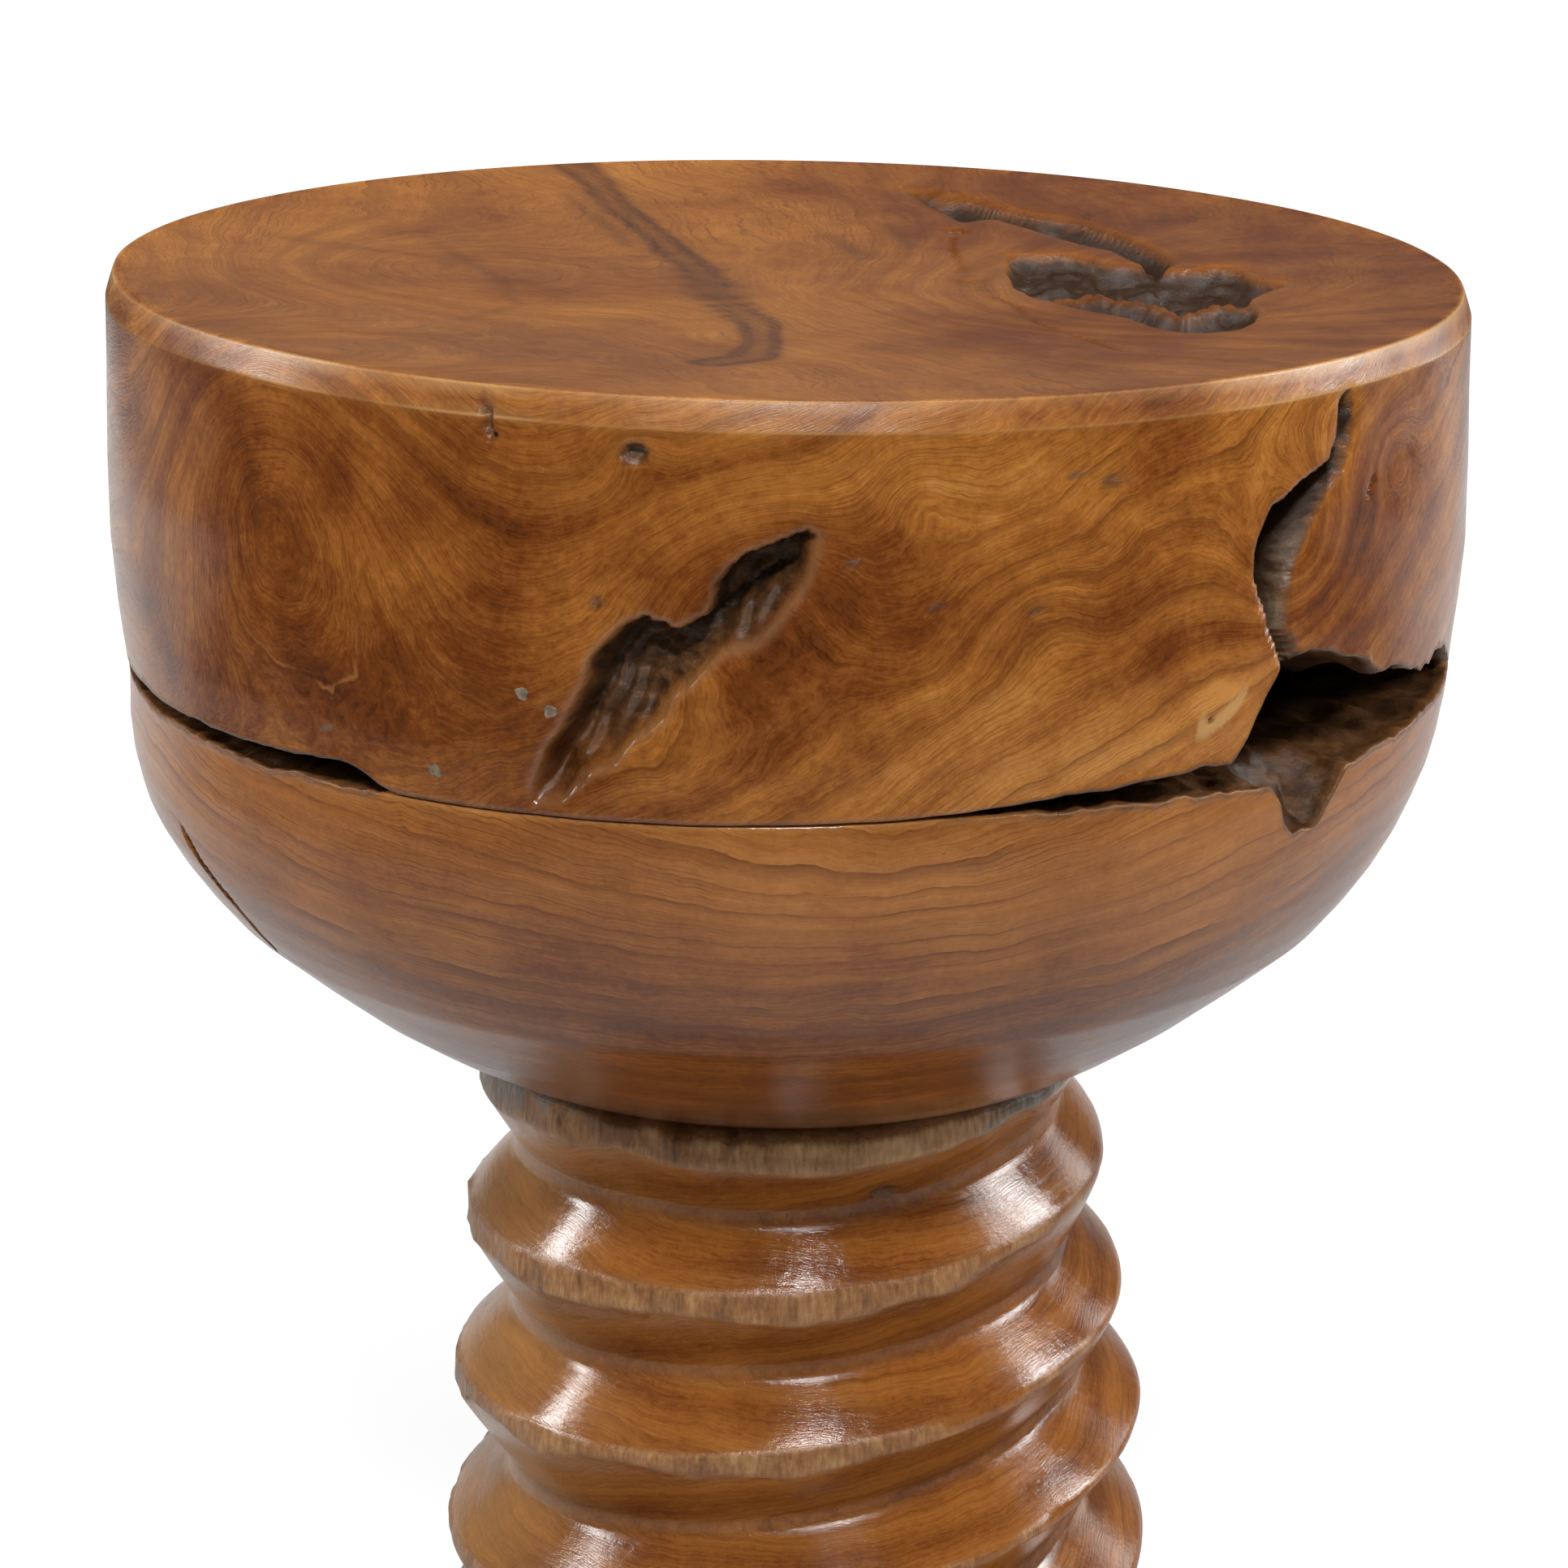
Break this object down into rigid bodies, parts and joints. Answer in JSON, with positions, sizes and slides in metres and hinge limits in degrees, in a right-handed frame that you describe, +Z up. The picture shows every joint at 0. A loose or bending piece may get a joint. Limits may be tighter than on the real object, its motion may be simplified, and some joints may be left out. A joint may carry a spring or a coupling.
{
  "type": "side table",
  "caption": "Low round side table of root wood: thick dished slab with eroded voids on a turned bowl, standing on a log carved as a giant right-hand screw.",
  "frame": {"origin": "middle of the table's footprint, on the floor", "axes": "+Z up the axis of the column; the pictured front faces -Y"},
  "size_m": [0.437, 0.437, 0.56],
  "materials": {
    "root_wood": "varnished semi-gloss",
    "bowl_wood": "varnished semi-gloss",
    "column_wood": "varnished over carved wood and bark",
    "pin_wood": "bare turned wood",
    "screw_steel": "zinc plated"
  },
  "bodies": {
    "root": {"top_slab": "root_wood", "bowl": "bowl_wood", "screw_column": "column_wood", "centre_tenon": "pin_wood", "slab_dowels": "pin_wood", "column_screws": "screw_steel"}
  },
  "joints": []
}
